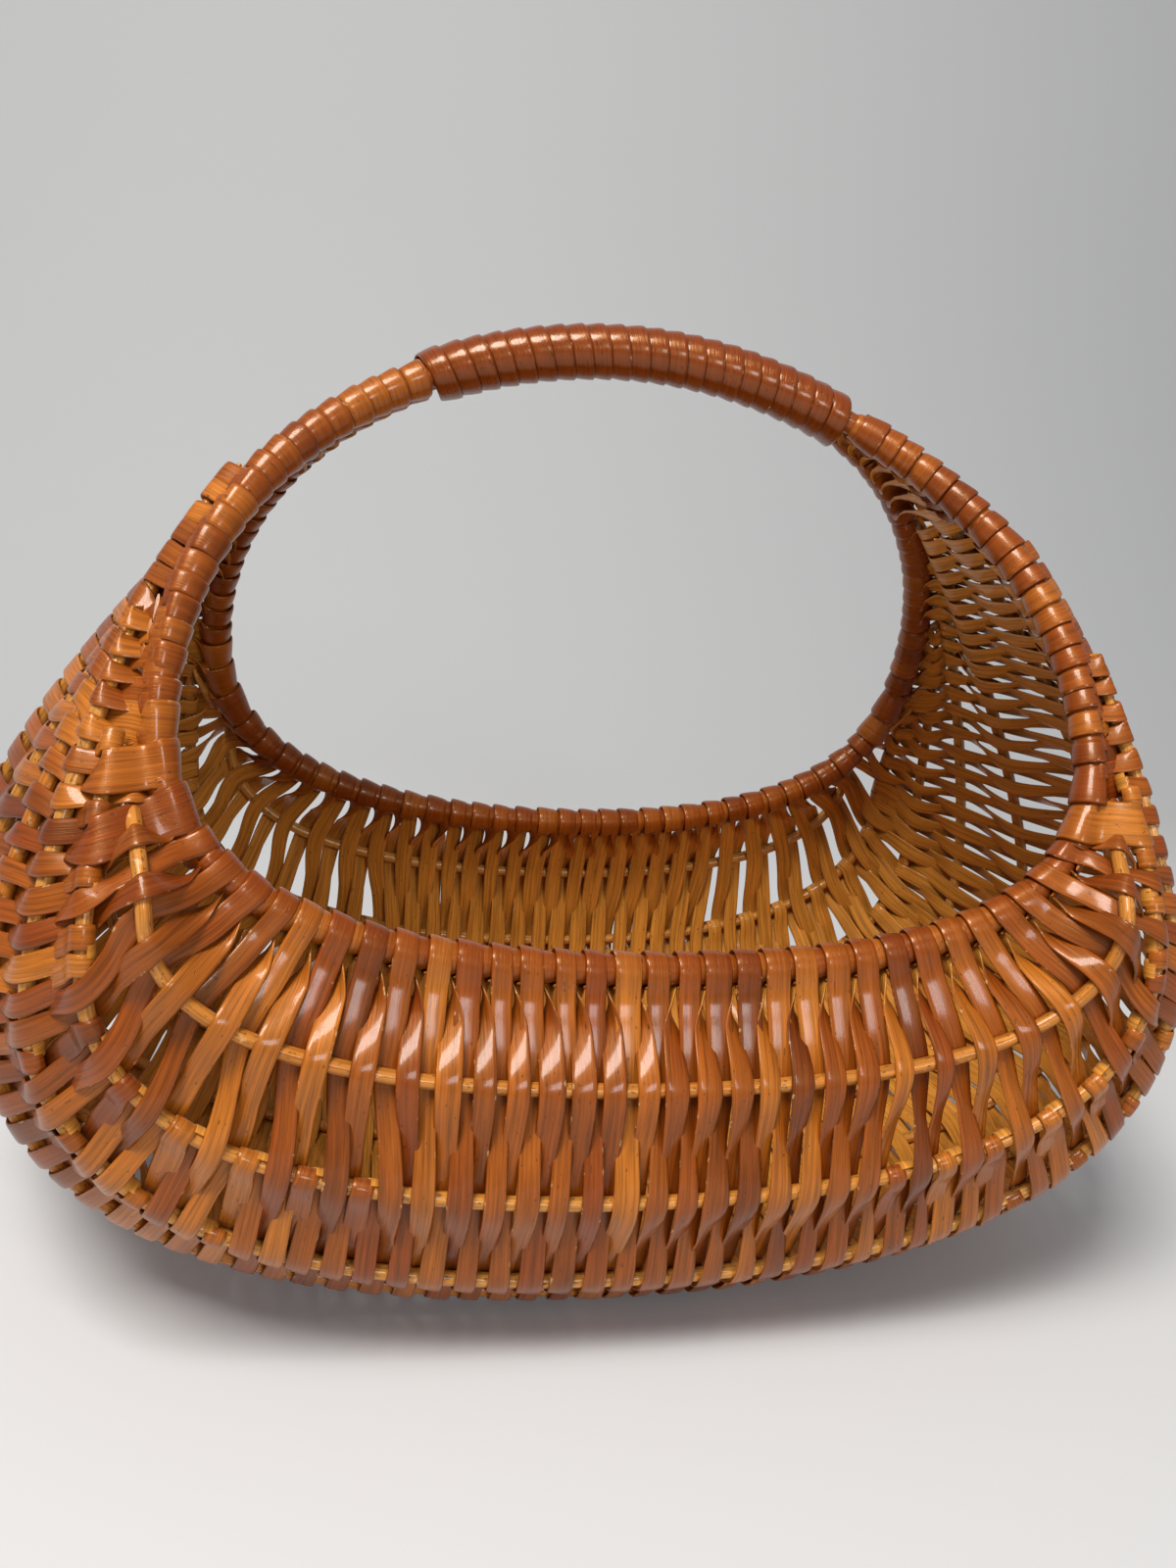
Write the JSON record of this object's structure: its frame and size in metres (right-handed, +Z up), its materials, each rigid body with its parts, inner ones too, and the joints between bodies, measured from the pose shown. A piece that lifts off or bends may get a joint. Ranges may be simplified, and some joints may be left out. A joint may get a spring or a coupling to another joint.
{
  "type": "gondola basket",
  "caption": "Gondola basket woven from varnished split willow, with an oval mouth, boat-shaped ends and a bound arch handle.",
  "frame": {"origin": "on the standing plane, under the middle of the base", "axes": "+Z up, +X along the basket's length, -Y towards the front wall"},
  "size_m": [0.4367, 0.2146, 0.3163],
  "materials": {
    "rim_willow": "gloss varnish",
    "rib_willow": "gloss varnish",
    "wrap_skein": "gloss varnish",
    "skein_willow": "gloss varnish"
  },
  "bodies": {
    "root": {"front_rim_rod": "rim_willow", "back_rim_rod": "rim_willow", "rib_01": "rib_willow", "rib_02": "rib_willow", "rib_03": "rib_willow", "rib_04": "rib_willow", "rib_05": "rib_willow", "rib_06": "rib_willow", "rib_07": "rib_willow", "rib_08": "rib_willow", "rib_09": "rib_willow", "rib_10": "rib_willow", "rib_11": "rib_willow", "grip_filler_upper": "rim_willow", "grip_filler_lower": "rim_willow", "grip_wrap": "wrap_skein", "skeins_left_arch_outer": "skein_willow", "skeins_left_arch_inner": "skein_willow", "skeins_left_end_outer": "skein_willow", "skeins_left_end_inner": "skein_willow", "skeins_left_corner_outer": "skein_willow", "skeins_left_corner_inner": "skein_willow", "skeins_left_wall_outer": "skein_willow", "skeins_left_wall_inner": "skein_willow", "skeins_right_wall_outer": "skein_willow", "skeins_right_wall_inner": "skein_willow", "skeins_right_corner_outer": "skein_willow", "skeins_right_corner_inner": "skein_willow", "skeins_right_end_outer": "skein_willow", "skeins_right_end_inner": "skein_willow", "skeins_right_arch_outer": "skein_willow", "skeins_right_arch_inner": "skein_willow"}
  },
  "joints": []
}
